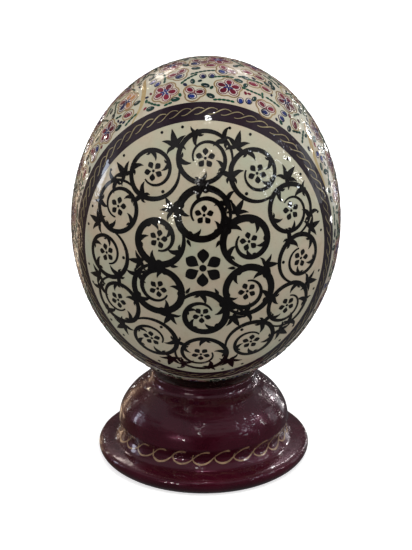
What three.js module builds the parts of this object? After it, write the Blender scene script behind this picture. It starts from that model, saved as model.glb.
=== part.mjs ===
// A decorated ostrich egg standing in its turned wooden stand.
// Millimetres, +Z up, the origin on the stand's axis where the flat foot meets the table, -Y the decorated front.
import * as THREE from "three";

// Driving dimensions of the egg: a spheroid, a little off the stand's axis and leaning to its right.
const EGG_WIDTH = 128;
const EGG_LENGTH = 157;
const EGG_CENTRE_Z = 119.2;
const EGG_OFFSET_X = 1.1;
const EGG_LEAN_DEG = 1.3;
const EGG_RINGS = 32;

// Driving dimensions of the stand, each a radius from the axis or a height above the table.
const FOOT_FLAT_RADIUS = 48.6; // where the flat underside ends
const FOOT_RADIUS = 52.2; // the widest ring of the rounded foot edge
const FOOT_WIDEST_Z = 4.9;
const FOOT_TOP_RADIUS = 50.8; // where the foot's edge turns over into its nearly flat top
const FOOT_TOP_Z = 7.5;
const CREASE_RADIUS = 43.6; // where that top meets the hollow under the dome
const CREASE_Z = 8.7;
const COVE_RADIUS = 40.3; // the narrowest ring of the hollow
const COVE_Z = 13.8;
const DOME_RADIUS = 42.1;
const DOME_WIDEST_Z = 18.6;
const SHOULDER_RADIUS = 30.2; // the crease where the dome ends under the collar
const SHOULDER_Z = 36.9;
const COLLAR_RADIUS = 25.7; // the outside of the collar's lip
const LIP_Z = 43.4;
const LIP_THICKNESS = 1.9;
const SEAT_RADIUS = 14; // the ring that the egg rests on
const SEAT_GAP = 0.5; // clearance between the egg and its seat
const SEAT_WIDTH = 1.4; // the flat top of that ring
const SEAT_RECESS_Z = 39.6; // the floor of the recess under the egg's lower end

const SEGMENTS = 64; // steps around both pieces

const shellMaterial = new THREE.MeshStandardMaterial({
  color: new THREE.Color(0.69, 0.63, 0.52),
  roughness: 0.12,
  metalness: 0,
});
const lacquerMaterial = new THREE.MeshStandardMaterial({
  color: new THREE.Color(0.2, 0.06, 0.09),
  roughness: 0.1,
  metalness: 0,
});

// Turns an outline of [radius, height] points, from the bottom to the top of the axis, into a closed solid about +Z.
function turned(outline) {
  const points = outline.map(([radius, height]) => new THREE.Vector2(radius, height));
  const geometry = new THREE.LatheGeometry(points, SEGMENTS);
  geometry.rotateX(Math.PI / 2);
  return geometry;
}

// Points on a spline through the given [radius, height] corners, with the first and the last kept.
function spline(corners, steps) {
  const curve = new THREE.CatmullRomCurve3(
    corners.map(([radius, height]) => new THREE.Vector3(radius, height, 0)),
    false,
    "centripetal",
  );
  return curve.getPoints(steps).map((point) => [point.x, point.y]);
}

// Height above the table of the egg's underside, for an upright egg, at a distance from its axis.
function undersideHeight(radius) {
  const half = EGG_WIDTH / 2;
  return EGG_CENTRE_Z - (EGG_LENGTH / 2) * Math.sqrt(1 - (radius / half) ** 2);
}

function eggOutline() {
  const outline = [];
  for (let ring = 0; ring <= EGG_RINGS; ring += 1) {
    const angle = (Math.PI * ring) / EGG_RINGS - Math.PI / 2;
    const radius = ring === 0 || ring === EGG_RINGS ? 0 : (EGG_WIDTH / 2) * Math.cos(angle);
    outline.push([radius, (EGG_LENGTH / 2) * Math.sin(angle)]);
  }
  return outline;
}

function standOutline() {
  const seatZ = undersideHeight(SEAT_RADIUS) - SEAT_GAP;
  const footEdge = spline(
    [
      [FOOT_FLAT_RADIUS, 0],
      [50.5, 1.5],
      [51.7, 3.1],
      [FOOT_RADIUS, FOOT_WIDEST_Z],
      [51.9, 6.4],
      [FOOT_TOP_RADIUS, FOOT_TOP_Z],
    ],
    9,
  );
  const cove = spline(
    [
      [CREASE_RADIUS, CREASE_Z],
      [42.3, 10.1],
      [41.1, 11.9],
      [COVE_RADIUS, COVE_Z],
      [40.8, 16.0],
      [DOME_RADIUS, DOME_WIDEST_Z],
    ],
    9,
  );
  const dome = spline(
    [
      [DOME_RADIUS, DOME_WIDEST_Z],
      [41.0, 23.9],
      [38.9, 28.0],
      [35.6, 32.2],
      [SHOULDER_RADIUS, SHOULDER_Z],
    ],
    8,
  );
  const collar = spline(
    [
      [SHOULDER_RADIUS, SHOULDER_Z],
      [27.4, 38.4],
      [25.9, 40.4],
      [COLLAR_RADIUS, LIP_Z - 1],
    ],
    5,
  );
  const lip = [
    [COLLAR_RADIUS - 0.5, LIP_Z - 0.2],
    [COLLAR_RADIUS - LIP_THICKNESS / 2, LIP_Z],
    [COLLAR_RADIUS - LIP_THICKNESS, LIP_Z - 0.3],
  ];
  const seat = [
    [SEAT_RADIUS + SEAT_WIDTH, seatZ],
    [SEAT_RADIUS, seatZ],
    [SEAT_RADIUS - SEAT_WIDTH, SEAT_RECESS_Z],
    [0, SEAT_RECESS_Z],
  ];
  return [[0, 0], ...footEdge, [47.2, 8.2], ...cove, ...dome.slice(1), ...collar.slice(1), ...lip, ...seat];
}

const stand = new THREE.Mesh(turned(standOutline()), lacquerMaterial);
stand.name = "stand";

const egg = new THREE.Mesh(turned(eggOutline()), shellMaterial);
egg.name = "egg";
egg.position.set(EGG_OFFSET_X, 0, EGG_CENTRE_Z);
egg.rotation.y = THREE.MathUtils.degToRad(EGG_LEAN_DEG);

const ostrichEgg = new THREE.Group();
ostrichEgg.add(stand, egg);

export default ostrichEgg;
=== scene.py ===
"""A painted and lacquered ostrich egg resting in its turned stand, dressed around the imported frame."""

import math
import random

import bmesh
import bpy
from mathutils import Matrix, Vector


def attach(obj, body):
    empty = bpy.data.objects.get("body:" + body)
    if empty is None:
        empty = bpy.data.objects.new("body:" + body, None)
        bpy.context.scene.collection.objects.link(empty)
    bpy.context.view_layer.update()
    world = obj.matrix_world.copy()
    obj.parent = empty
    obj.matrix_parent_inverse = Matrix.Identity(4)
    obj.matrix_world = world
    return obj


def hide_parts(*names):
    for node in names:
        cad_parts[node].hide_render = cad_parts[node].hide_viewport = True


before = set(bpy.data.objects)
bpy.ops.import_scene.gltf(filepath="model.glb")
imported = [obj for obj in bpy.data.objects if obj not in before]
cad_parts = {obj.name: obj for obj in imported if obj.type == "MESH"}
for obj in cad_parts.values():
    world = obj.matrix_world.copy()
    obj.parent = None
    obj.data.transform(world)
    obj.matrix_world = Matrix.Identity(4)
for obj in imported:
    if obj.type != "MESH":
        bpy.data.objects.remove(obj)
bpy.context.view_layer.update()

TAU = 2 * math.pi
MM = 0.001  # shapes are measured in millimetres, and each finished mesh is brought to metres
TINY = 1e-6
WELD = 1e-4  # corners closer together than this become one

# The egg: the same spheroid, place and lean as the frame's own.
EGG_WIDTH = 128.0
EGG_LENGTH = 157.0
EGG_CENTRE = Vector((1.1, 0.0, 119.2))
EGG_LEAN = math.radians(1.3)
PAINT_ROOM = 0.3  # the bare shell lies this far inside the egg's size, and the paint stands on it
HALF_WIDTH = EGG_WIDTH / 2 - PAINT_ROOM
HALF_LENGTH = EGG_LENGTH / 2 - PAINT_ROOM

# The round panel on the front, measured over the shell from the middle of the front.
PANEL_MIDDLE = (-1.3, -0.9)
PANEL_STRETCH = 1.015  # the panel was drawn by hand, a little taller than it is wide
PANEL_RADIUS = 65.0
BAND_WIDTH = 9.6
BAND_RADIUS = PANEL_RADIUS + BAND_WIDTH / 2
PANEL_EDGE = PANEL_RADIUS + BAND_WIDTH

# How far each paint stands above the shell.
BAND_HEIGHT = 0.04
INK_HEIGHT = 0.07
VINE_HEIGHT = 0.03
OUTLINE_HEIGHT = 0.06
RIM_HEIGHT = 0.09
PALE_HEIGHT = 0.12
COLOUR_HEIGHT = 0.15
TOP_HEIGHT = 0.18
GOLD_HEIGHT = 0.1
PAINT_DEPTH = 0.45  # a mark's thickness, most of it inside the shell
DOME_RISE = 0.06

# The stand, with the frame's own driving dimensions.
FOOT_FLAT_RADIUS = 48.6
FOOT_RADIUS = 52.2
FOOT_WIDEST_Z = 4.9
FOOT_TOP_RADIUS = 50.8
FOOT_TOP_Z = 7.5
CREASE_RADIUS = 43.6
CREASE_Z = 8.7
COVE_RADIUS = 40.3
COVE_Z = 13.8
DOME_RADIUS = 42.1
DOME_WIDEST_Z = 18.6
SHOULDER_RADIUS = 30.2
SHOULDER_Z = 36.9
COLLAR_RADIUS = 25.7
LIP_Z = 43.4
LIP_THICKNESS = 1.9
SEAT_RADIUS = 14.0
SEAT_WIDTH = 1.4
SEAT_GAP = 0.5
SEAT_RECESS_Z = 39.6

# The camera, in front of the object and a little above it, for a picture 412 pixels wide and 550 high.
PICTURE_HEIGHT = 550
FOCAL_PIXELS = 1480.9
SENSOR_HEIGHT = 36.0
NEAR_CLIP = 0.05
CAMERA_PLACE = Vector((1.14, -669.9, 335.6))
CAMERA_DOWN = math.radians(19.98)


# ==== Lines and curves ====


def smooth(corners, steps):
    """Points on a Catmull-Rom curve through the corners, with so many steps from one corner to the next."""
    before = tuple(2 * a - b for a, b in zip(corners[0], corners[1]))
    after = tuple(2 * a - b for a, b in zip(corners[-1], corners[-2]))
    ends = [before, *corners, after]
    line = []
    for p, q, r, s in zip(ends, ends[1:], ends[2:], ends[3:]):
        for k in range(steps):
            t = k / steps
            line.append(tuple(
                0.5 * (2 * b + (c - a) * t + (2 * a - 5 * b + 4 * c - d) * t**2
                       + (3 * b - a - 3 * c + d) * t**3)
                for a, b, c, d in zip(p, q, r, s)
            ))
    line.append(tuple(corners[-1]))
    return line


def polar(centre, radius, angle):
    return centre[0] + radius * math.cos(angle), centre[1] + radius * math.sin(angle)


# ==== The egg's surface ====


def shell_normal(point):
    across, up = HALF_WIDTH**2, HALF_LENGTH**2
    return Vector((point.x / across, point.y / across, point.z / up)).normalized()


def shell_point(point, height):
    """The point of the shell straight out from the egg's centre through a point, raised by a height."""
    share = math.hypot(point.x / HALF_WIDTH, point.y / HALF_WIDTH, point.z / HALF_LENGTH)
    on_shell = point / share
    return on_shell + shell_normal(on_shell) * height


def section(x, z):
    """For the cut through the egg along a direction seen from the front: its half axis, and how oval it is."""
    length = math.hypot(x, z)
    reach = length / math.hypot(x / HALF_WIDTH, z / HALF_LENGTH)
    return reach, 1 - (HALF_WIDTH / reach) ** 2


def section_arc(angle, reach, oval):
    """Length over the shell from the middle of the front to an angle of that cut."""
    second = angle / 2 - math.sin(2 * angle) / 4
    fourth = 3 * angle / 8 - math.sin(2 * angle) / 4 + math.sin(4 * angle) / 32
    return reach * (angle - oval / 2 * second - oval**2 / 8 * fourth)


def front_point(x, y, height):
    """The point x to the right and y above the middle of the front, both measured over the shell."""
    distance = math.hypot(x, y)
    if distance < TINY:
        return shell_point(Vector((0, -1, 0)), height)
    reach, oval = section(x, y)
    angle = distance / reach
    for _ in range(4):
        slope = reach * math.sqrt(1 - oval * math.sin(angle) ** 2)
        angle -= (section_arc(angle, reach, oval) - distance) / slope
    across = reach * math.sin(angle) / distance
    return shell_point(Vector((x * across, -HALF_WIDTH * math.cos(angle), y * across)), height)


def panel_point(x, y, height):
    return front_point(x + PANEL_MIDDLE[0], y * PANEL_STRETCH + PANEL_MIDDLE[1], height)


def distance_from_panel(point):
    """How far a point of the shell lies from the panel's middle, over the shell."""
    if math.hypot(point.x, point.z) < TINY:
        return 0.0
    reach, oval = section(point.x, point.z)
    arc = section_arc(math.acos(max(-1.0, min(1.0, -point.y / HALF_WIDTH))), reach, oval)
    share = arc / math.hypot(point.x, point.z)
    x, y = point.x * share, point.z * share
    return math.hypot(x - PANEL_MIDDLE[0], (y - PANEL_MIDDLE[1]) / PANEL_STRETCH)


def shell_direction(longitude, latitude):
    """A point of the shell by longitude, to the right of the front, and latitude, both in degrees."""
    east, up = math.radians(longitude), math.radians(latitude)
    return Vector((
        HALF_WIDTH * math.sin(east) * math.cos(up),
        -HALF_WIDTH * math.cos(east) * math.cos(up),
        HALF_LENGTH * math.sin(up),
    ))


def flat_patch(middle, turn):
    """A placing function for small marks: u and v are millimetres on the shell around the middle point."""
    normal = shell_normal(middle)
    east = Vector((0, 0, 1)).cross(normal)
    if east.length < 1e-4:
        east = Vector((1, 0, 0))
    east.normalize()
    north = normal.cross(east)
    along, across = math.cos(turn), math.sin(turn)

    def place(u, v, height):
        moved = middle + east * (u * along - v * across) + north * (u * across + v * along)
        return shell_point(moved, height)

    return place


# ==== Paint: flat marks laid on a surface, then given a thickness ====


class Paint:
    """One colour of paint. Its marks are laid flat in small batches and thickened together at the end."""

    BATCH_FACES = 900

    def __init__(self, normal=shell_normal):
        self.normal = normal
        self.batches = [bmesh.new()]

    def sheet(self):
        if len(self.batches[-1].faces) > self.BATCH_FACES:
            self.batches.append(bmesh.new())
        return self.batches[-1]

    def spot(self, place, middle, half_length, half_width, angle, height, sides=9, rise=0.0, point=0.0):
        """An oval spot, longest along its angle; point draws its far end out, and rise domes it."""
        bm = self.sheet()
        ring = bmesh.ops.create_circle(bm, cap_ends=True, segments=sides, radius=1)["verts"]
        face = ring[0].link_faces[0]
        lean_x, lean_y = math.cos(angle), math.sin(angle)
        for corner in ring:
            along = corner.co.y * half_length * (1 + point * max(0.0, corner.co.y))
            across = -corner.co.x * half_width * (1 - point * max(0.0, corner.co.y) ** 2)
            u = middle[0] + along * lean_x - across * lean_y
            v = middle[1] + along * lean_y + across * lean_x
            corner.co = place(u, v, height)
        if rise:
            face.normal_update()
            bmesh.ops.poke(bm, faces=[face], offset=rise)

    def ribbon(self, place, line, widths, height, closed=False, across=1):
        """A brush stroke along a line, as wide at each point as widths says."""
        bm = self.sheet()
        last = len(line) - 1
        grid = bmesh.ops.create_grid(bm, x_segments=last, y_segments=across, size=1)["verts"]
        for corner in grid:
            k = round((corner.co.x + 1) / 2 * last)
            behind = line[k - 1] if k else (line[-2] if closed else line[0])
            ahead = line[k + 1] if k < last else (line[1] if closed else line[-1])
            run_x, run_y = ahead[0] - behind[0], ahead[1] - behind[1]
            length = math.hypot(run_x, run_y) or 1.0
            side = corner.co.y * widths[k] / 2 / length
            corner.co = place(line[k][0] - run_y * side, line[k][1] + run_x * side, height)
        if closed:
            bmesh.ops.remove_doubles(bm, verts=grid, dist=WELD)

    def thickened(self, depth):
        """All the marks as closed solids in one bmesh: each laid face on top of a copy sunk by the depth."""
        whole = bmesh.new()
        for bm in self.batches:
            for face in bm.faces:
                face.normal_update()
            raised = bmesh.ops.extrude_face_region(bm, geom=list(bm.faces))["geom"]
            tops = {part for part in raised if isinstance(part, bmesh.types.BMVert)}
            for corner in bm.verts:
                if corner not in tops:
                    corner.co -= self.normal(corner.co) * depth
            bmesh.ops.recalc_face_normals(bm, faces=list(bm.faces))
            batch = bpy.data.meshes.new("batch")
            bm.to_mesh(batch)
            bm.free()
            whole.from_mesh(batch)
            bpy.data.meshes.remove(batch)
        return whole


EGG_PLACE = Matrix.Translation(EGG_CENTRE) @ Matrix.Rotation(EGG_LEAN, 4, "Y")
SHARP_EDGE = math.radians(40)


def put(name, data):
    """A new object in the scene."""
    thing = bpy.data.objects.new(name, data)
    bpy.context.scene.collection.objects.link(thing)
    return thing


def put_mesh(name, bm, material):
    """A new object made from a bmesh, which is used up."""
    mesh = bpy.data.meshes.new(name)
    bm.to_mesh(mesh)
    bm.free()
    mesh.materials.append(material)
    return put(name, mesh)


def finish_piece(name, bm, material, slot, place=None):
    """Turns a bmesh in millimetres into a shaded piece that rides on the object's one body."""
    if place:
        bmesh.ops.transform(bm, matrix=place, verts=list(bm.verts))
    bmesh.ops.scale(bm, vec=(MM, MM, MM), verts=list(bm.verts))
    bm.normal_update()
    for face in bm.faces:
        face.smooth = True
    for edge in bm.edges:
        edge.smooth = len(edge.link_faces) == 2 and edge.calc_face_angle() < SHARP_EDGE
    piece = put_mesh(name, bm, material)
    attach(piece, "root")
    return piece


def finish_paint(name, paint, material, slot, place=EGG_PLACE, depth=PAINT_DEPTH):
    return finish_piece(name, paint.thickened(depth), material, slot, place)


# ==== Materials ====


def linear(shade):
    """A colour as the four linear values that a shader takes; three numbers are a screen colour up to 255."""
    if len(shade) == 4:
        return shade
    shares = [value / 255 for value in shade]
    return (*(s / 12.92 if s <= 0.04045 else ((s + 0.055) / 1.055) ** 2.4 for s in shares), 1.0)


class Nodes:
    """Nodes under construction. A value is a number, a colour, a direction or another node's output."""

    def __init__(self, tree, place):
        self.tree = tree
        self.place = self.node("TexCoord", place)

    def fill(self, socket, value):
        if isinstance(value, bpy.types.NodeSocket):
            self.tree.links.new(value, socket)
        else:
            socket.default_value = linear(value) if socket.type == "RGBA" else value

    def node(self, kind, output, **inputs):
        """Adds a node, fills the inputs that are named and returns one of its outputs."""
        node = self.tree.nodes.new("ShaderNode" + kind)
        for name, value in inputs.items():
            self.fill(node.inputs[name.replace("_", " ")], value)
        return node.outputs[output]

    def combine(self, kind, operation, *values):
        """A Math or VectorMath node that works out one number from the values."""
        node = self.tree.nodes.new("ShaderNode" + kind)
        node.operation = operation
        for socket, value in zip(node.inputs, values):
            self.fill(socket, value)
        return node.outputs["Value"]

    def mix(self, share, first, second, kind="RGBA"):
        """Mixes two colours by a share, or two numbers where kind is VALUE."""
        node = self.tree.nodes.new("ShaderNodeMix")
        node.data_type = "RGBA" if kind == "RGBA" else "FLOAT"
        self.fill(node.inputs["Factor"], share)
        sockets = [socket for socket in node.inputs if socket.type == kind]
        for socket, value in zip(sockets[-2:], (first, second)):
            self.fill(socket, value)
        return next(socket for socket in node.outputs if socket.type == kind)

    def ramp(self, value, *stops):
        """Colours along a value: each stop is a position and a colour."""
        node = self.tree.nodes.new("ShaderNodeValToRGB")
        elements = node.color_ramp.elements
        while len(elements) < len(stops):
            elements.new(0.5)
        for element, (position, shade) in zip(elements, stops):
            element.position = position
            element.color = linear(shade)
        self.fill(node.inputs["Fac"], value)
        return node.outputs["Color"]

    def between(self, value, low, high, from_low=0.3, from_high=0.7):
        """Carries a value from one range to another."""
        return self.node("MapRange", "Result", Value=value, From_Min=from_low, From_Max=from_high,
                         To_Min=low, To_Max=high)

    def along(self, axis):
        """The place along one axis."""
        return self.node("SeparateXYZ", axis, Vector=self.place)


class Finish(Nodes):
    """A material under construction, on a Principled shader."""

    def __init__(self, name):
        self.material = bpy.data.materials.new(name)
        self.material.use_nodes = True
        super().__init__(self.material.node_tree, "Object")

    def set(self, **inputs):
        """Fills inputs of the shader."""
        for name, value in inputs.items():
            self.fill(self.tree.nodes["Principled BSDF"].inputs[name.replace("_", " ")], value)

    def noise(self, scale, detail=3.0, roughness=0.5, distortion=0.0, stretch=None):
        place = self.node("Mapping", "Vector", Vector=self.place, Scale=stretch) if stretch else self.place
        return self.node("TexNoise", "Fac", Vector=place, Scale=scale, Detail=detail, Roughness=roughness,
                         Distortion=distortion)

    def bump(self, value, distance, strength=1.0, **base):
        return self.node("Bump", "Normal", Height=value, Distance=distance, Strength=strength, **base)


RIPPLE_SCALE = 170.0  # slow ripples of the lacquer per metre
PEBBLE_SCALE = 400.0  # its fine grain per metre
PATCH_SCALE = 30.0  # patches with and without that grain per metre
COAT_ROUGHNESS = 0.03
COAT_IOR = 1.5
NO_GRAIN = (0.5, 0.5, 0.5, 1.0)  # the level of the coat between the patches
PAINT_GLOSS = 0.15  # the paints themselves hardly shine: the coat over them does
PANEL_DEPTH = (-0.0345, -0.0315)  # in metres along Y, where the panel's ground turns into the flowered one


def lacquer(finish, weight, ripple, grain, height):
    """Adds the clear gloss coat, with a slow ripple left by the brush and patches of a finer grain that split
    a glint, and gives back the finished material."""
    slow = finish.bump(finish.noise(RIPPLE_SCALE, 2.0, 0.45), ripple)
    patchy = finish.between(finish.noise(PATCH_SCALE, 2.0), 0.0, 1.0, 0.4, 0.56)
    broken = finish.mix(patchy, NO_GRAIN, grain)
    finish.set(
        Coat_Weight=weight,
        Coat_Roughness=COAT_ROUGHNESS,
        Coat_IOR=COAT_IOR,
        Coat_Normal=finish.bump(broken, height, Normal=slow),
    )
    return finish.material


def egg_lacquer(finish):
    return lacquer(finish, 1.0, 0.0001, finish.noise(PEBBLE_SCALE, 1.0, 0.5), 0.00028)


def shell_finish():
    """Cream ground, a little darker in the panel: warm and greenish drifts, tan stains and small pores."""
    finish = Finish("cream_shell")
    drift = finish.noise(34, 3.0, 0.55)
    flowered = finish.ramp(drift, (0.38, (216, 200, 182)), (0.62, (204, 202, 182)))
    panel = finish.ramp(drift, (0.38, (210, 192, 168)), (0.62, (195, 195, 170)))
    ground = finish.mix(finish.between(finish.along("Y"), 1.0, 0.0, *PANEL_DEPTH), flowered, panel)
    stain = finish.between(finish.noise(85, 4.0, 0.6, 0.4), 0.0, 0.5, 0.52, 0.78)
    speck = finish.between(finish.noise(900, 2.0), 0.0, 0.35, 0.6, 0.8)
    cells = finish.node("TexVoronoi", "Distance", Vector=finish.place, Scale=520)
    pores = finish.between(cells, 0.0, 1.0, 0.02, 0.3)
    finish.set(
        Base_Color=finish.mix(speck, finish.mix(stain, ground, (180, 158, 122)), (170, 150, 118)),
        Roughness=finish.between(finish.noise(140, 3.0), 0.34, 0.5),
        Normal=finish.bump(pores, 0.00004, 0.7),
        Specular_IOR_Level=PAINT_GLOSS,
    )
    return egg_lacquer(finish)


def flat_paint_finish(name, dark, light, scale=85, roughness=(0.3, 0.45)):
    """Opaque paint under the lacquer, a little uneven as it was brushed on."""
    finish = Finish(name)
    finish.set(
        Base_Color=finish.ramp(finish.noise(scale, 4.0, 0.6, 0.3), (0.34, dark), (0.66, light)),
        Roughness=finish.between(finish.noise(scale * 3, 3.0), *roughness),
        Normal=finish.bump(finish.noise(1500, 2.0), 0.00002, 0.5),
        Specular_IOR_Level=PAINT_GLOSS,
    )
    return egg_lacquer(finish)


def gold_finish(name, dark, light):
    """Hand-brushed gold paint: thin where the brush ran dry, brighter where it pooled."""
    finish = Finish(name)
    finish.set(
        Base_Color=finish.ramp(finish.noise(240, 4.0, 0.65, 0.5), (0.35, dark), (0.62, light)),
        Roughness=finish.between(finish.noise(900, 3.0), 0.28, 0.5),
        Normal=finish.bump(finish.noise(1800, 3.0), 0.00004, 0.6),
        Metallic=0.25,
    )
    return egg_lacquer(finish)


def stand_finish():
    """Maroon lacquer over turned wood: faint rings from the lathe and a slow drift of depth in the colour."""
    finish = Finish("maroon_lacquer")
    body = finish.ramp(finish.noise(38, 4.0, 0.6), (0.32, (53, 8, 20)), (0.68, (70, 14, 30)))
    rings = finish.between(finish.noise(30, 3.0, 0.6, 0.6, (1, 1, 14)), 0.0, 0.3, 0.45, 0.75)
    finish.set(
        Base_Color=finish.mix(rings, body, (42, 7, 16)),
        Roughness=finish.between(finish.noise(160, 3.0), 0.2, 0.32),
        Normal=finish.bump(finish.noise(60, 2.0, 0.5, 0.0, (1, 1, 5)), 0.0001, 0.35),
        Specular_IOR_Level=0.4,
        Specular_Tint=(255, 156, 196),
    )
    return lacquer(finish, 0.8, 0.00014, finish.noise(90, 2.0, 0.5, 0.0, (1, 1, 8)), 0.0003)


SHELL = shell_finish()
STAND = stand_finish()
AUBERGINE = flat_paint_finish("aubergine_band", (30, 16, 27), (46, 29, 41), 45)
INK = flat_paint_finish("black_ink", (8, 5, 5), (20, 16, 15), 110, (0.25, 0.4))
CRIMSON = flat_paint_finish("crimson_enamel", (72, 10, 24), (138, 30, 58))
PEACH = flat_paint_finish("peach_enamel", (172, 110, 62), (208, 158, 104))
NAVY = flat_paint_finish("navy_enamel", (18, 20, 40), (30, 36, 72))
BLUE = flat_paint_finish("blue_enamel", (18, 26, 70), (38, 60, 138))
GREEN = flat_paint_finish("green_enamel", (6, 48, 38), (18, 86, 62))
TEAL = flat_paint_finish("leaf_enamel", (12, 32, 38), (22, 66, 58))
PALE = flat_paint_finish("pale_outline", (204, 188, 180), (230, 218, 212), 120)
TAN = flat_paint_finish("tan_outline", (134, 108, 72), (170, 144, 102), 90)
VINE = flat_paint_finish("gold_vine", (168, 138, 88), (196, 176, 128), 55)
TWIST_GOLD = gold_finish("gold_twist_paint", (138, 124, 90), (186, 170, 128))
SCROLL_GOLD = gold_finish("gold_scroll_paint", (140, 108, 84), (188, 154, 118))


# ==== The bare shell and the band around the panel ====

SHELL_MERIDIANS = 256
SHELL_RINGS = 160
BAND_STEPS = 240  # steps round the band
BAND_ROWS = 6  # strips across it


def make_shell():
    bm = bmesh.new()
    bmesh.ops.create_uvsphere(bm, u_segments=SHELL_MERIDIANS, v_segments=SHELL_RINGS, radius=1)
    bmesh.ops.scale(bm, vec=(HALF_WIDTH, HALF_WIDTH, HALF_LENGTH), verts=list(bm.verts))
    shell = finish_piece("eggshell", bm, SHELL, "shell", EGG_PLACE)
    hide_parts("egg")


def make_band():
    band = Paint()
    line = [polar((0, 0), BAND_RADIUS, TAU * k / BAND_STEPS) for k in range(BAND_STEPS + 1)]
    band.ribbon(panel_point, line, [BAND_WIDTH] * len(line), BAND_HEIGHT, True, BAND_ROWS)
    finish_paint("panel_band", band, AUBERGINE, "dark_band")


TWIST_STROKES = 68
TWIST_LAP = 1.75  # how many places along the band one stroke runs
TWIST_REACH = 1.75  # how far the strokes swing to each side of the band's middle
TWIST_WIDTH = 0.52
TWIST_STEPS = 12


def make_twist():
    """The gold twist on the band: a rope of S strokes, each one lapping over the last."""
    gold = Paint()
    pitch = TAU / TWIST_STROKES
    chance = random.Random(11)
    for stroke in range(TWIST_STROKES):
        reach = TWIST_REACH * chance.uniform(0.9, 1.1)
        full = TWIST_WIDTH * chance.uniform(0.75, 1.2)
        start = math.pi / 2 - pitch * stroke + pitch * chance.uniform(-0.06, 0.06)
        line, widths = [], []
        for k in range(TWIST_STEPS + 1):
            t = k / TWIST_STEPS - 0.5
            swing = reach * math.sin(math.pi * (0.1 + 1.42 * t))
            line.append(polar((0, 0), BAND_RADIUS + swing, start - pitch * TWIST_LAP * t))
            widths.append(full * (0.45 + 0.55 * math.cos(math.pi * t * 0.9) ** 2 + 0.25 * max(0.0, t)))
        gold.ribbon(panel_point, line, widths, GOLD_HEIGHT + 0.015 * (stroke % 2))
    finish_paint("gold_twist", gold, TWIST_GOLD, "gold_paint")


# ==== The black scrollwork in the panel: leafy coils around a flower ====


def brush(line, full, tip=0.35, rise=0.25, fall=0.45):
    """A stroke that swells from a thin tip to its full width, then thins out again."""
    last = len(line) - 1
    widths = []
    for k in range(len(line)):
        t = k / last
        swell = min(1.0, t / rise, (1 - t) / fall)
        widths.append(tip + (full - tip) * math.sin(0.5 * math.pi * max(0.0, swell)))
    return line, widths


def leaf(base, heading, size, curl, full, steps=9, belly=0.65):
    """A leaf that grows from base along a heading, turns by its curl and ends in a point."""
    line, widths = [base], [0.15]
    for k in range(1, steps + 1):
        t = k / steps
        line.append(polar(line[-1], size / steps, heading + curl * (t - 0.5 / steps)))
        widths.append(max(0.15, full * max(0.0, math.sin(math.pi * t**belly)) ** 0.85))
    return line, widths


def split_leaf(base, heading, size, sense, full):
    """A long lobe that curls one way, and a short one that curls away from it."""
    return [
        leaf(base, heading, size, 1.35 * sense, full * size),
        leaf(base, heading + 0.9 * sense, 0.5 * size, 2.1 * sense, 0.22 * size, 6),
    ]


def bead(centre, radius):
    line, widths = [], []
    for k in range(7):
        x = -math.cos(math.pi * k / 6)
        line.append((centre[0] + radius * x, centre[1]))
        widths.append(max(0.12, 2 * radius * math.sqrt(max(0.0, 1 - x * x))))
    return line, widths


def blossom(centre, size, angle, petals):
    strokes = []
    for petal in range(petals):
        out = angle + TAU * petal / petals
        strokes.append(leaf(polar(centre, 0.26 * size, out), out, 0.8 * size, 0.0, 0.64 * size, 9, 1.25))
    return strokes


OUTER_COILS = 12
INNER_COILS = 6
# The two rings of coils: radius, how many, stroke, size of the leaves, and the radii that the leaves keep
# between.
COIL_RINGS = (
    (47.6, OUTER_COILS, 2.35, 1.0, 37.0, 63.0),
    (23.2, INNER_COILS, 3.4, 0.95, 11.8, 36.5),
)
# Leaves along a coil: how far round it they grow, their length, and how they lean out of it or into it.
COIL_LEAVES = (
    (1.05, 7.8, -0.5), (2.2, 7.2, -0.5),
    (0.9, 7.4, 0.55), (2.15, 7.4, 0.55), (3.4, 7.0, 0.55), (4.7, 6.4, 0.55), (6.0, 5.6, 0.55),
)
COIL_LEAF_WIDTH = 0.33  # of its length
COIL_STEPS = 72
COIL_END = 0.44  # radius that a coil winds in to, as a share of its own
OUTER_SPRAYS = PANEL_RADIUS - 11.0  # radius that the sprays between the outer coils start from
OUTER_BEADS = PANEL_RADIUS - 2.4
INNER_SPRAYS = 27.4
INNER_BEADS = 37.4
INNER_TIPS = 14.4  # radius of the small leaves that point at the middle flower
MIDDLE_FLOWER = 8.2


def coil(ring, coils, at, sense, stroke, grown, hole, room):
    """A vine that leaves its neighbour, runs half-way round a circle and winds in to a blossom."""
    step = TAU / coils
    centre = polar((0, 0), ring, at)
    outer = ring * math.sin(step / 2)
    inner = COIL_END * outer
    touch = polar((0, 0), ring * math.cos(step / 2), at - step / 2)
    start = math.atan2(touch[1] - centre[1], touch[0] - centre[0])
    half_way = math.pi + sense * step
    whole = half_way + TAU

    def on_coil(swept):
        inward = max(0.0, (swept - half_way) / (whole - half_way))
        return polar(centre, outer + (inner - outer) * inward**0.9, start + sense * swept)

    def fits(leaves):
        return all(hole < math.hypot(x, y) < room for line, widths in leaves for x, y in line)

    line = [on_coil(whole * k / COIL_STEPS) for k in range(COIL_STEPS + 1)]
    strokes = [brush(line, stroke, 0.8, 0.28, 0.75)]
    for swept, size, lean in COIL_LEAVES:
        if swept > whole:
            continue
        size *= grown
        side = -sense if lean < 0 else sense
        heading = start + sense * (swept + math.pi / 2 + lean)
        leaves = split_leaf(on_coil(swept), heading, size, side, COIL_LEAF_WIDTH)
        while size > 1 and not fits(leaves):
            size *= 0.85
            leaves = split_leaf(on_coil(swept), heading, size, side, COIL_LEAF_WIDTH)
        strokes += leaves
    return strokes + blossom(centre, 0.35 * outer, at, 5) + [bead(centre, 0.7)]


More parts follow.
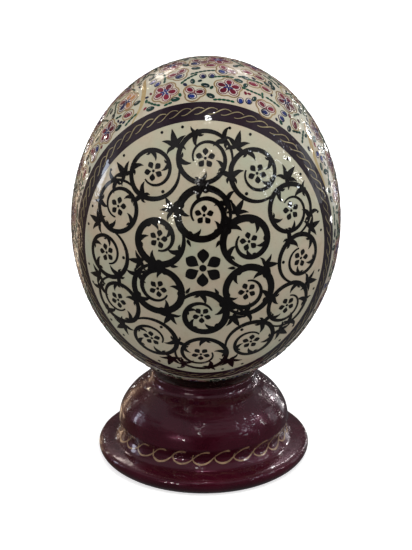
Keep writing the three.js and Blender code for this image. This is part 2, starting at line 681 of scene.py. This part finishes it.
def spray(ring, gap, size):
    """Five leaves that fan outwards from between two coils."""
    base = polar((0, 0), ring, gap)
    strokes = [leaf(base, gap, 8.8 * size, 0.0, 3.2 * size)]
    for side in (1, -1):
        strokes.append(leaf(base, gap + 0.5 * side, 7.4 * size, 0.9 * side, 2.3 * size))
        strokes.append(leaf(base, gap + 1.3 * side, 5.6 * size, 1.5 * side, 1.9 * size, 7))
    return strokes


def scrollwork():
    """Every stroke of the panel: two rings of coils, sprays and beads between them, a flower in the middle."""
    top = math.pi / 2
    strokes = []
    for ring, coils, stroke, grown, hole, room in COIL_RINGS:
        for k in range(coils):
            sense = 1 if k % 2 == 0 else -1
            strokes += coil(ring, coils, top + k * TAU / coils, sense, stroke, grown, hole, room)
    for k in range(OUTER_COILS):
        gap = top + (k + 0.5) * TAU / OUTER_COILS
        strokes += spray(OUTER_SPRAYS, gap, 1.0)
        for side in (1, -1):
            strokes.append(bead(polar((0, 0), OUTER_BEADS, gap + 0.082 * side), 0.75))
    for k in range(INNER_COILS):
        at = top + k * TAU / INNER_COILS
        gap = at + TAU / INNER_COILS / 2
        strokes += spray(INNER_SPRAYS, gap, 0.86)
        strokes.append(bead(polar((0, 0), INNER_BEADS, gap), 0.8))
        strokes.append(bead(polar((0, 0), INNER_BEADS - 0.2, at), 0.9))
        strokes.append(leaf(polar((0, 0), INNER_TIPS, gap), gap + math.pi, 3.6, 0.0, 1.5, 6))
    return strokes + blossom((0, 0), MIDDLE_FLOWER, top, 6) + [bead((0, 0), 1.6)]


def make_scrollwork():
    ink = Paint()
    for number, (line, widths) in enumerate(scrollwork()):
        ink.ribbon(panel_point, line, widths, INK_HEIGHT + 0.008 * (number % 3))
    finish_paint("black_scrollwork", ink, INK, "ink")


# ==== The flowered ground ====


class Garden:
    """The paints of the flowered ground and the places already taken on it."""

    CELL = 16.0
    LOWEST = -68.0  # degrees of latitude below which the stand hides the shell

    def __init__(self):
        self.crimson, self.peach, self.navy, self.blue, self.green = (Paint() for _ in range(5))
        self.teal, self.pale, self.tan, self.vine = (Paint() for _ in range(4))
        self.taken = {}

    def cells_near(self, point):
        home = tuple(math.floor(value / self.CELL) for value in point)
        for i in (-1, 0, 1):
            for j in (-1, 0, 1):
                for k in (-1, 0, 1):
                    yield home[0] + i, home[1] + j, home[2] + k

    def is_free(self, point, radius):
        if point.z < HALF_LENGTH * math.sin(math.radians(self.LOWEST)):
            return False
        if point.y < 0 and distance_from_panel(point) < PANEL_EDGE + radius + 0.5:
            return False
        for cell in self.cells_near(point):
            for other, other_radius in self.taken.get(cell, ()):
                if (other - point).length < radius + other_radius:
                    return False
        return True

    def take(self, point, radius):
        home = tuple(math.floor(value / self.CELL) for value in point)
        self.taken.setdefault(home, []).append((point, radius))


def halo(garden, place, middle, inner, outer, lobes, turn, steps, width=0.7):
    """A tan line around a flower, bowed out over each petal and cusped between them."""
    line = []
    for k in range(steps + 1):
        angle = TAU * k / steps
        bow = abs(math.cos(lobes / 2 * (angle - turn))) ** 0.7
        line.append(polar(middle, inner + (outer - inner) * bow, angle))
    garden.tan.ribbon(place, line, [width] * (steps + 1), OUTLINE_HEIGHT, True)


def petal(garden, paint, place, base, angle, length, width):
    """A coloured petal with a pale line drawn just inside its edge, narrower towards the flower's middle."""
    middle = polar(base, length * 0.5, angle)
    back = angle + math.pi
    paint.spot(place, middle, length * 0.5, width * 0.5, back, RIM_HEIGHT, 10, 0.0, 0.2)
    garden.pale.spot(place, middle, length * 0.5 - 0.4, width * 0.5 - 0.38, back, PALE_HEIGHT, 10, 0.0, 0.2)
    paint.spot(place, middle, length * 0.335, width * 0.305, back, COLOUR_HEIGHT, 9, DOME_RISE, 0.25)


def eye(garden, place, size, petals, chance):
    """A flower's middle: dark blue strokes that run out between the petals, and a pale dash over them."""
    for gap in range(petals):
        angle = TAU * (gap + 0.5) / petals + chance.uniform(-0.15, 0.15)
        at = polar((0, 0), 1.25 * size, angle)
        length = 1.35 * size * chance.uniform(0.75, 1.15)
        garden.blue.spot(place, at, length, 0.5, angle, COLOUR_HEIGHT + 0.02, 7)
    dash = chance.uniform(0, TAU)
    garden.pale.spot(place, polar((0, 0), 0.4, dash), 0.8, 0.26, dash + 0.5, TOP_HEIGHT + 0.02, 6)


ROSETTE_PETALS = 5
PETAL_LENGTH = 5.0
PETAL_WIDTH = 4.5
ROSETTE_OUTLINE = (4.9, 6.6)  # radii of the outline between the petals and round them


def rosette(garden, place, size, chance, paints=None):
    """Five petals around an eye, in one tan outline."""
    for p in range(ROSETTE_PETALS):
        angle = TAU * p / ROSETTE_PETALS + chance.uniform(-0.1, 0.1)
        length = PETAL_LENGTH * size * chance.uniform(0.94, 1.04)
        paint = paints[p] if paints else garden.crimson
        petal(garden, paint, place, polar((0, 0), 0.9 * size, angle), angle, length, PETAL_WIDTH * size)
    eye(garden, place, size, ROSETTE_PETALS, chance)
    inner, outer = ROSETTE_OUTLINE
    halo(garden, place, (0, 0), inner * size, outer * size, ROSETTE_PETALS, 0.0, 35)


def gold_rosette(garden, place, size, chance):
    """A rosette with peach petals next to blue and crimson ones."""
    paints = (garden.peach, garden.peach, garden.crimson, garden.blue, garden.peach)
    rosette(garden, place, size, chance, paints)


def blue_bud(garden, place, middle, angle, size):
    """A dark blue bud with a pale crescent around its brighter heart."""
    garden.navy.spot(place, middle, 2.25 * size, 1.85 * size, angle, RIM_HEIGHT + 0.01, 10)
    garden.pale.spot(place, polar(middle, 0.12, angle), 1.7 * size, 1.34 * size, angle, PALE_HEIGHT + 0.01, 9)
    heart = polar(middle, -0.2, angle + 0.6)
    garden.blue.spot(place, heart, 1.45 * size, 1.1 * size, angle, COLOUR_HEIGHT + 0.01, 9, DOME_RISE)


def sprig(garden, place, size, chance):
    """Two crimson petals and a blue bud in one tan outline."""
    for angle in (math.radians(30), math.radians(150)):
        base = polar((0, -0.3), 0.4 * size, angle)
        angle += chance.uniform(-0.12, 0.12)
        petal(garden, garden.crimson, place, base, angle, 4.6 * size, 3.9 * size)
    blue_bud(garden, place, (0, -2.5 * size), 0.0, size)
    halo(garden, place, (0, -0.2 * size), 3.7 * size, 5.3 * size, 3, -math.pi / 2, 27)


def bud_pair(garden, place, size, chance):
    for side in (1, -1):
        paint_angle = chance.uniform(0.4, 1.2)
        blue_bud(garden, place, (1.5 * size * side, -1.35 * size * side), paint_angle, 0.9 * size)


def red_bud(garden, place, size, chance):
    """One crimson petal with a pale curl on it, in a tan outline."""
    garden.crimson.spot(place, (0, 0), 2.2 * size, 1.6 * size, math.pi, RIM_HEIGHT, 10, 0.0, 0.2)
    garden.pale.spot(place, (0.25 * size, 0.1), 1.45 * size, 1.0 * size, math.pi, PALE_HEIGHT, 9, 0.0, 0.1)
    heart = (0, -0.15 * size)
    garden.crimson.spot(place, heart, 1.35 * size, 0.9 * size, math.pi, COLOUR_HEIGHT, 9, DOME_RISE)
    halo(garden, place, (0, 0), 2.3 * size, 3.15 * size, 2, 0.0, 18, 0.6)


def leaf_mark(garden, place, size, chance):
    garden.teal.spot(place, (0, 0), 2.05 * size, 1.35 * size, 0.0, COLOUR_HEIGHT, 10, 0.05, 0.1)
    garden.pale.spot(place, (-0.3, 0.45 * size), 0.8 * size, 0.12, 0.1, TOP_HEIGHT + 0.01, 6)


STEM_STEP = 1.9  # from one dash of a stem to the next


def stem_places(place, count):
    return [place(STEM_STEP * (k - (count - 1) / 2), 0, 0) for k in range(count)]


def dash_row(garden, place, count, bow):
    """A stem drawn as a bowed row of short green dashes."""
    for k in range(count):
        t = k - (count - 1) / 2
        at = (STEM_STEP * t, -bow * t * t)
        slope = -2 * bow * t / STEM_STEP
        garden.green.spot(place, at, 1.05, 0.6, math.atan(slope), COLOUR_HEIGHT, 8, 0.04)


def small_petal(garden, place, size, chance):
    paint = chance.choice((garden.crimson, garden.navy, garden.navy, garden.teal, garden.green))
    paint.spot(place, (0, 0), 1.25 * size, 0.8 * size, 0.0, COLOUR_HEIGHT, 7, 0.04)


# Each motif: what draws it, and the radius it keeps to itself.
MOTIFS = {
    "rosette": (rosette, 6.4),
    "gold_rosette": (gold_rosette, 6.4),
    "sprig": (sprig, 5.1),
    "bud_pair": (bud_pair, 3.3),
    "red_bud": (red_bud, 3.0),
    "leaf": (leaf_mark, 1.75),
    "petal": (small_petal, 1.05),
}

# The painter's plan for the crown above the panel: motif, longitude, latitude and turn, in degrees.
CROWN = (
    ("rosette", -38, 60, 20), ("sprig", -13, 62, -8), ("rosette", 18, 65, 0), ("sprig", 41, 53, -40),
    ("rosette", 65, 53, 10), ("bud_pair", 27, 57.5, 30), ("bud_pair", 51, 48.5, 70), ("red_bud", 47, 65, -30),
    ("red_bud", 57, 44, 60), ("sprig", -43, 71, 60), ("leaf", -4, 66, 160), ("leaf", 1, 60.5, 150),
    ("leaf", -26, 57.5, 20), ("leaf", -41, 51.5, 30), ("bud_pair", -57, 63, 40), ("leaf", -26, 77, 20),
    ("leaf", 33, 68, 140), ("bud_pair", -3, 72, 50), ("rosette", -65, 38, 40), ("leaf", -57, 41, 60),
    ("sprig", 28, 76, -60), ("red_bud", 4, 81, 20), ("red_bud", 60, 72, -40), ("red_bud", 56, 61, -50),
    ("gold_rosette", -67, 51, 60), ("leaf", -55, 78, 0), ("red_bud", 66, 67, -50), ("leaf", 45, 69, 130),
    ("rosette", -78, 74, 0), ("leaf", 66, 60.5, 20), ("rosette", 60, 86, 0), ("sprig", -40, 83, 0),
)
# Rows of dashes in the crown: longitude, latitude and turn of the middle, and the number of dashes.
CROWN_STEMS = (
    (-25, 69.5, 62, 5), (15, 71.5, -4, 6), (11, 58.5, -10, 5), (38, 61.5, -42, 5), (53, 66, -44, 4),
    (51, 55, -60, 4), (-51, 45.5, 70, 4),
)
# Gold vines beside the panel: corners by longitude and latitude.
SIDE_VINES = (
    ((-76, 62), (-60, 58), (-50, 52), (-48, 44)),
    ((69, 45), (65, 39), (61, 30), (63, 20)),
)
# Vines that wander between the flowers: how many, the room that one needs around its middle, and its bends, as
# millimetres along it and shares of its bow.
VINES = 30
VINE_ROOM = 13.0
VINE_BENDS = ((-15, -1), (-8, 0.4), (0, 0.2), (8, -0.5), (14, 1))


def lay_vine(garden, place, line, full):
    widths = [full * (0.35 + 0.65 * math.sin(math.pi * k / (len(line) - 1))) for k in range(len(line))]
    garden.vine.ribbon(place, line, widths, VINE_HEIGHT, across=2)
    for u, v in line[::2]:
        garden.take(place(u, v, 0), full / 2 + 0.1)


def make_vines(garden, chance):
    """Soft gold stems that wander between the flowers."""
    def by_degrees(longitude, latitude, height):
        return shell_point(shell_direction(longitude, latitude), height)

    for corners in SIDE_VINES:
        lay_vine(garden, by_degrees, smooth(corners, 8), 2.5)
    laid = 0
    while laid < VINES:
        middle = random_point(chance)
        if not garden.is_free(middle, VINE_ROOM):
            continue
        place = flat_patch(middle, chance.uniform(0, TAU))
        bow = chance.choice((-1, 1)) * chance.uniform(3.0, 5.0)
        corners = [(u, share * bow) for u, share in VINE_BENDS]
        lay_vine(garden, place, smooth(corners, 6), chance.uniform(0.9, 1.4))
        laid += 1


def random_point(chance):
    """A point of the shell, every part of it about as likely as any other."""
    up = chance.uniform(-1, 1)
    around = chance.uniform(0, TAU)
    flat = HALF_WIDTH * math.sqrt(1 - up * up)
    return Vector((flat * math.cos(around), flat * math.sin(around), HALF_LENGTH * up))


def plant(garden, kind, middle, turn, size, chance):
    draw, radius = MOTIFS[kind]
    draw(garden, flat_patch(middle, turn), size, chance)
    garden.take(middle, radius * size)


def plant_stem(garden, middle, turn, count, chance):
    place = flat_patch(middle, turn)
    dash_row(garden, place, count, chance.uniform(-0.12, 0.12))
    for spot in stem_places(place, count):
        garden.take(spot, 0.75)


# How the rest of the ground is filled, largest first: motif, number of tries, and the range of its size.
FILLING = (
    ("gold_rosette", 40, (0.95, 1.05)), ("rosette", 2600, (0.92, 1.08)), ("sprig", 3200, (0.9, 1.05)),
    ("stem", 2600, (4, 6)), ("bud_pair", 2600, (0.85, 1.05)), ("red_bud", 3600, (0.85, 1.05)),
    ("stem", 2600, (3, 4)), ("leaf", 8000, (0.8, 1.1)), ("stem", 2600, (2, 3)), ("petal", 12000, (0.75, 1.1)),
)


def make_flowers():
    garden = Garden()
    chance = random.Random(5)
    for kind, longitude, latitude, turn in CROWN:
        plant(garden, kind, shell_direction(longitude, latitude), math.radians(turn), 1.0, chance)
    for longitude, latitude, turn, count in CROWN_STEMS:
        plant_stem(garden, shell_direction(longitude, latitude), math.radians(turn), count, chance)
    make_vines(garden, chance)
    for kind, tries, sizes in FILLING:
        for _ in range(tries):
            middle = random_point(chance)
            turn = chance.uniform(0, TAU)
            if kind == "stem":
                count = chance.randint(*sizes)
                if all(garden.is_free(spot, 0.8) for spot in stem_places(flat_patch(middle, turn), count)):
                    plant_stem(garden, middle, turn, count, chance)
            else:
                size = chance.uniform(*sizes)
                if garden.is_free(middle, MOTIFS[kind][1] * size):
                    plant(garden, kind, middle, turn, size, chance)
    for name, paint, material, slot in (
        ("crimson_petals", garden.crimson, CRIMSON, "enamel"),
        ("peach_petals", garden.peach, PEACH, "enamel"),
        ("dark_buds", garden.navy, NAVY, "enamel"),
        ("blue_hearts", garden.blue, BLUE, "enamel"),
        ("green_stems", garden.green, GREEN, "enamel"),
        ("green_leaves", garden.teal, TEAL, "enamel"),
        ("pale_edgings", garden.pale, PALE, "enamel"),
        ("tan_outlines", garden.tan, TAN, "gold_paint"),
        ("gold_vines", garden.vine, VINE, "gold_paint"),
    ):
        finish_paint(name, paint, material, slot)


# ==== The turned stand and its gold scroll ====


def seat_height(radius):
    """Height of the upright egg's underside at a distance from its axis."""
    return EGG_CENTRE.z - EGG_LENGTH / 2 * math.sqrt(1 - (2 * radius / EGG_WIDTH) ** 2)


def stand_flank():
    """The outside of the stand as (radius, height) points, from the foot's underside to under the collar."""
    foot_edge = smooth([(FOOT_FLAT_RADIUS, 0), (50.5, 1.5), (51.7, 3.1), (FOOT_RADIUS, FOOT_WIDEST_Z),
                        (51.9, 6.4), (FOOT_TOP_RADIUS, FOOT_TOP_Z), (47.2, 8.2), (44.6, 8.5),
                        (CREASE_RADIUS, CREASE_Z)], 4)
    cove = smooth([(CREASE_RADIUS, CREASE_Z), (42.9, 9.3), (42.2, 10.2), (41.1, 11.9), (COVE_RADIUS, COVE_Z),
                   (40.8, 16.0), (DOME_RADIUS, DOME_WIDEST_Z)], 4)
    dome = smooth([(DOME_RADIUS, DOME_WIDEST_Z), (41.0, 23.9), (38.9, 28.0), (35.6, 32.2),
                   (SHOULDER_RADIUS, SHOULDER_Z)], 6)
    return foot_edge + cove[1:] + dome[1:]


def stand_top():
    """The collar, its lip, the shallow dish inside it and the ring that the egg rests on."""
    collar = smooth([(SHOULDER_RADIUS, SHOULDER_Z), (27.4, 38.4), (25.9, 40.4), (COLLAR_RADIUS, LIP_Z - 1)], 6)
    lip = [
        (COLLAR_RADIUS - 0.12, LIP_Z - 0.5),
        (COLLAR_RADIUS - 0.5, LIP_Z - 0.14),
        (COLLAR_RADIUS - LIP_THICKNESS / 2, LIP_Z),
        (COLLAR_RADIUS - LIP_THICKNESS + 0.4, LIP_Z - 0.1),
        (COLLAR_RADIUS - LIP_THICKNESS, LIP_Z - 0.3),
    ]
    seat = seat_height(SEAT_RADIUS) - SEAT_GAP
    dish = [
        (SEAT_RADIUS + SEAT_WIDTH, seat),
        (SEAT_RADIUS, seat),
        (SEAT_RADIUS - SEAT_WIDTH, SEAT_RECESS_Z),
        (0, SEAT_RECESS_Z),
    ]
    return collar[1:] + lip + dish


STAND_STEPS = 160


def make_stand():
    bm = bmesh.new()
    outline = [(0, 0), *stand_flank(), *stand_top()]
    corners = [bm.verts.new((radius, 0, height)) for radius, height in outline]
    edges = [bm.edges.new(pair) for pair in zip(corners, corners[1:])]
    bmesh.ops.spin(bm, geom=corners + edges, cent=(0, 0, 0), axis=(0, 0, 1), angle=TAU, steps=STAND_STEPS,
                   use_merge=True)
    bmesh.ops.remove_doubles(bm, verts=list(bm.verts), dist=WELD)
    bmesh.ops.recalc_face_normals(bm, faces=list(bm.faces))
    stand = finish_piece("turned_stand", bm, STAND, "stand_lacquer")
    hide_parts("stand")


SCROLL_STROKES = 25
SCROLL_Z = 15.0  # height of the scroll's middle
SCROLL_ROUND = 41.0  # radius at which its lengths are measured
SCROLL_HEIGHT = 0.12
SCROLL_DEPTH = 0.4
# Where along a stroke it swells, and over what share of its length.
SCROLL_BOWL = (0.36, 0.17)
SCROLL_TIP = (0.9, 0.1)
# One stroke, along the stand and up its side: down into a round bowl, then up a long slope to a blunt tip.
SCROLL_STROKE = (
    (-4.7, 1.2), (-5.3, -0.9), (-4.4, -3.0), (-1.6, -4.3), (1.8, -3.6),
    (4.6, -1.5), (7.0, 1.2), (9.4, 3.3), (11.8, 3.9), (13.0, 3.4),
)
FLANK = stand_flank()


def flank_runs():
    """The stand's outside as (distance up its side, radius, height), measured from the scroll's middle."""
    runs = [0.0]
    for (r0, z0), (r1, z1) in zip(FLANK, FLANK[1:]):
        runs.append(runs[-1] + math.hypot(r1 - r0, z1 - z0))
    middle = 0.0
    for run, run_next, (r0, z0), (r1, z1) in zip(runs, runs[1:], FLANK, FLANK[1:]):
        if z0 <= SCROLL_Z < z1:
            middle = run + (run_next - run) * (SCROLL_Z - z0) / (z1 - z0)
    return [(run - middle, radius, height) for run, (radius, height) in zip(runs, FLANK)]


FLANK_RUNS = flank_runs()


def flank_at(run):
    """Radius and height of the stand's side at a distance up it."""
    for (run0, r0, z0), (run1, r1, z1) in zip(FLANK_RUNS, FLANK_RUNS[1:]):
        if run0 <= run <= run1:
            share = (run - run0) / (run1 - run0)
            return r0 + (r1 - r0) * share, z0 + (z1 - z0) * share
    return SHOULDER_RADIUS, SHOULDER_Z


def flank_normal_at(angle, run):
    r0, z0 = flank_at(run - 0.5)
    r1, z1 = flank_at(run + 0.5)
    out = Vector((z1 - z0, 0, r0 - r1)).normalized()
    return Vector((out.x * math.cos(angle), out.x * math.sin(angle), out.z))


def flank_normal(point):
    """The stand's outward direction at a point on its side."""
    out = math.hypot(point.x, point.y)
    nearest = min(FLANK_RUNS, key=lambda entry: abs(entry[2] - point.z) + abs(entry[1] - out))
    return flank_normal_at(math.atan2(point.y, point.x), nearest[0])


def flank_point(u, v, height):
    angle = u / SCROLL_ROUND - math.pi / 2
    radius, z = flank_at(v)
    return Vector((radius * math.cos(angle), radius * math.sin(angle), z)) + flank_normal_at(angle, v) * height


def make_stand_scroll():
    """The running scroll in gold: lazy S strokes, each rising out of the one before."""
    gold = Paint(flank_normal)
    chance = random.Random(3)
    pitch = TAU * SCROLL_ROUND / SCROLL_STROKES
    for number in range(SCROLL_STROKES):
        at = pitch * number + chance.uniform(-0.5, 0.5)
        tall = chance.uniform(0.82, 0.98)
        wide = chance.uniform(0.93, 1.05)
        side = math.sin(at / SCROLL_ROUND)
        drop = 1.3 * side**2 - 0.5 * side  # the painter's line sinks towards the sides
        line = smooth([(at + x * wide, y * tall - drop) for x, y in SCROLL_STROKE], 5)
        full = chance.uniform(0.6, 1.05)
        widths = []
        for k in range(len(line)):
            t = k / (len(line) - 1)
            bowl, tip = (math.exp(-((t - peak) / spread) ** 2) for peak, spread in (SCROLL_BOWL, SCROLL_TIP))
            widths.append(0.4 + full * (0.5 * bowl + 0.85 * tip + 0.15 * t))
        widths[-1] *= 0.6
        gold.ribbon(flank_point, line, widths, SCROLL_HEIGHT + 0.02 * (number % 2))
    finish_paint("gold_scroll", gold, SCROLL_GOLD, "gold_paint", None, SCROLL_DEPTH)


# ==== Floor, light and camera ====


FLOOR_REACH = 4.0
FLOOR_GLOW = 0.7
ROOM_LIGHT = (0.7, 0.5)  # how bright the room is below and above, as soft light
FRONT_LIGHT = 0.14  # the share of it that comes from straight in front
# How bright the room looks mirrored in the lacquer, from straight below (0) to straight above (1): the floor,
# dim walls, a lit strip of wall under a dark ceiling.
ROOM_GLOSS = ((0.4, 0.08), (0.46, 0.09), (0.72, 0.08), (0.76, 0.32), (0.9, 0.32), (0.935, 0.06))
WARM_CORNER = (-0.74, 0.67, 0.0)  # the direction of the shop's warm corner, behind on the left
ROOM_TINT = ((0.97, 0.96, 1.0, 1.0), (1.0, 0.72, 0.54, 1.0))  # the mirrored room's colour, and that corner's
DARK_FRONT = (0.0, -0.985, 0.17)  # the middle of the dark screen in front of the panel
DARK_SHARE = 0.12  # what it leaves of the room's brightness
# How closely a direction agrees with an axis, from -1 to 1, where each of these begins and where it is whole.
SCREEN_EDGE = (0.9, 0.94)
CORNER_EDGE = (0.6, 0.95)
FRONT_EDGE = (0.3, 1.0)
UNTINTED = (1.0, 1.0, 1.0, 1.0)

AIM_HEIGHT = 0.12  # lamps are aimed at the middle of the egg
# Lamps: azimuth from the front to the right, elevation, distance, width, height, brightness and colour, then
# whether the lacquer mirrors it, and the width of its beam in degrees.
LAMPS = (
    ("window", -105, 8, 1.5, 0.14, 0.4, 6.5, (0.76, 0.84, 1.0)),
    ("window_side", -96, 13, 1.5, 0.16, 0.3, 1.5, (0.8, 0.86, 1.0)),
    ("window_wall", -108, 24, 1.6, 0.4, 0.4, 0.25, (0.85, 0.9, 1.0)),
    ("shop_lamp_a", -39, 7, 1.8, 0.07, 0.06, 90.0, (1.0, 1.0, 0.94)),
    ("shop_lamp_b", -33, 13, 1.8, 0.08, 0.05, 90.0, (1.0, 1.0, 0.94)),
    ("shop_lamp_c", -26, 6, 1.8, 0.06, 0.06, 90.0, (1.0, 1.0, 0.94)),
    ("right_panel", 60, 22, 1.6, 0.13, 0.13, 9.0, (0.82, 0.92, 1.0)),
    ("right_lamp", 90, 23, 1.6, 0.07, 0.07, 50.0, (1.0, 1.0, 1.0)),
    ("right_wall", 110, 8, 1.6, 0.34, 0.7, 0.7, (0.9, 0.95, 1.0)),
    ("back_right", 139, 2, 1.6, 0.3, 0.8, 1.0, (0.94, 0.97, 1.0)),
    ("back_right_lamp", 133, 12, 1.6, 0.06, 0.08, 60.0, (1.0, 1.0, 1.0)),
    ("back_left", -160, 32, 0.637, 0.18, 0.09, 13.0, (1.0, 0.88, 0.8), True, 20.0),
    ("left_wall", -145, -3, 1.6, 0.5, 1.1, 0.16, (1.0, 0.66, 0.42)),
    ("left_lamp", -147, 28, 1.6, 0.03, 0.03, 60.0, (1.0, 0.86, 0.62)),
    ("left_lamp_low", -128, 14, 1.6, 0.04, 0.04, 50.0, (1.0, 0.96, 0.9)),
    ("overhead_lamp", 2, 73, 1.6, 0.05, 0.05, 320.0, (1.0, 1.0, 1.0)),
    ("key", 24, 72, 1.6, 1.0, 0.8, 3.2, (1.0, 0.98, 0.95), False),
    ("right_fill", 66, -5, 1.6, 1.0, 1.0, 0.6, (0.8, 0.91, 1.0), False),
)
CLUSTER_DISTANCE = 1.6
WARM_WHITE = (1.0, 0.98, 0.95)
# Loose clusters of small lamps and of lit shelves: how many, the ranges of azimuth and elevation, the size of
# each, its brightness and its colour.
CLUSTERS = (
    (14, (120, 156), (-14, 26), 0.035, 26.0, WARM_WHITE),
    (8, (-166, -124), (-6, 34), 0.035, 14.0, WARM_WHITE),
    (4, (86, 106), (8, 24), 0.035, 26.0, WARM_WHITE),
    (4, (-24, 30), (30, 58), 0.035, 34.0, WARM_WHITE),
    (12, (-156, -132), (-26, 18), 0.13, 1.4, (1.0, 0.74, 0.5)),
    (14, (50, 90), (4, 36), 0.035, 32.0, (0.86, 0.93, 1.0)),
    (9, (157, 169), (27, 41), 0.035, 26.0, (1.0, 0.98, 0.98)),
)


def make_floor():
    bm = bmesh.new()
    bmesh.ops.create_grid(bm, x_segments=1, y_segments=1, size=FLOOR_REACH)
    finish = Finish("pale_floor")
    pale = finish.ramp(finish.noise(3, 2.0), (0.3, (244, 244, 244)), (0.7, (248, 248, 248)))
    finish.set(Base_Color=pale, Emission_Color=pale, Roughness=0.9, Emission_Strength=FLOOR_GLOW)
    floor = put_mesh("floor", bm, finish.material)
    floor.visible_diffuse = False
    floor.visible_glossy = False


def make_clusters():
    chance = random.Random(8)
    for number, (lamps, azimuths, elevations, size, brightness, shade) in enumerate(CLUSTERS):
        for k in range(lamps):
            name = f"cluster_{number}_{k}"
            azimuth, elevation = chance.uniform(*azimuths), chance.uniform(*elevations)
            bright = brightness * chance.uniform(0.5, 1.5)
            make_lamp(name, azimuth, elevation, CLUSTER_DISTANCE, size, size, bright, shade)


def make_lamp(name, azimuth, elevation, distance, width, height, brightness, shade, mirrored=True, beam=180.0):
    """A rectangular soft light that shines on the egg from a direction given in degrees."""
    around, up, half_beam = math.radians(azimuth), math.radians(elevation), math.radians(beam / 2)
    data = bpy.data.lights.new(name, "AREA")
    data.shape = "RECTANGLE"
    data.size, data.size_y = width, height
    data.energy = brightness * math.pi * width * height
    if beam < 180.0:
        data.spread = 2 * half_beam
        data.energy *= 1 - half_beam / math.tan(half_beam)
    data.color = shade
    light = put(name, data)
    towards = Vector((math.sin(around) * math.cos(up), -math.cos(around) * math.cos(up), math.sin(up)))
    light.location = towards * distance + Vector((0, 0, AIM_HEIGHT))
    light.rotation_euler = towards.to_track_quat("Z", "Y").to_euler()
    light.visible_glossy = mirrored
    light.visible_camera = False


def make_light():
    """A pale backdrop for the camera, a dimmer room for everything else, and the lamps."""
    world = bpy.data.worlds.new("studio")
    world.use_nodes = True
    bpy.context.scene.world = world
    room = Nodes(world.node_tree, "Generated")
    height = room.along("Z")
    front = room.combine("VectorMath", "DOT_PRODUCT", room.place, DARK_FRONT)
    corner = room.combine("VectorMath", "DOT_PRODUCT", room.place, WARM_CORNER)
    levels = [(position, (bright, bright, bright, 1.0)) for position, bright in ROOM_GLOSS]
    walls = room.ramp(room.between(height, 0.0, 1.0, -1.0, 1.0), *levels)
    screen = room.between(front, 1.0, DARK_SHARE, *SCREEN_EDGE)
    mirrored = room.combine("Math", "MULTIPLY", walls, screen)
    around = room.between(height, *ROOM_LIGHT, -1.0, 1.0)
    soft = room.combine("Math", "MULTIPLY", around, room.between(front, 1.0, FRONT_LIGHT, *FRONT_EDGE))
    tint = room.mix(room.between(corner, 0.0, 1.0, *CORNER_EDGE), *ROOM_TINT)
    is_mirrored = room.node("LightPath", "Is Glossy Ray")
    is_seen = room.node("LightPath", "Is Camera Ray")
    unseen = room.mix(is_mirrored, soft, mirrored, "VALUE")
    background = world.node_tree.nodes["Background"].inputs
    room.fill(background["Strength"], room.mix(is_seen, unseen, 1.0, "VALUE"))
    room.fill(background["Color"], room.mix(is_mirrored, UNTINTED, tint))
    for lamp in LAMPS:
        make_lamp(*lamp)
    make_clusters()


def make_camera():
    data = bpy.data.cameras.new("camera")
    data.sensor_fit = "VERTICAL"
    data.sensor_height = SENSOR_HEIGHT
    data.lens = FOCAL_PIXELS / PICTURE_HEIGHT * SENSOR_HEIGHT
    data.clip_start = NEAR_CLIP
    camera = put("camera", data)
    camera.location = CAMERA_PLACE * MM
    camera.rotation_euler = (math.pi / 2 - CAMERA_DOWN, 0, 0)
    bpy.context.scene.camera = camera


make_shell()
make_band()
make_twist()
make_scrollwork()
make_flowers()
make_stand()
make_stand_scroll()
make_floor()
make_light()
make_camera()
bpy.context.scene.view_settings.view_transform = "Standard"
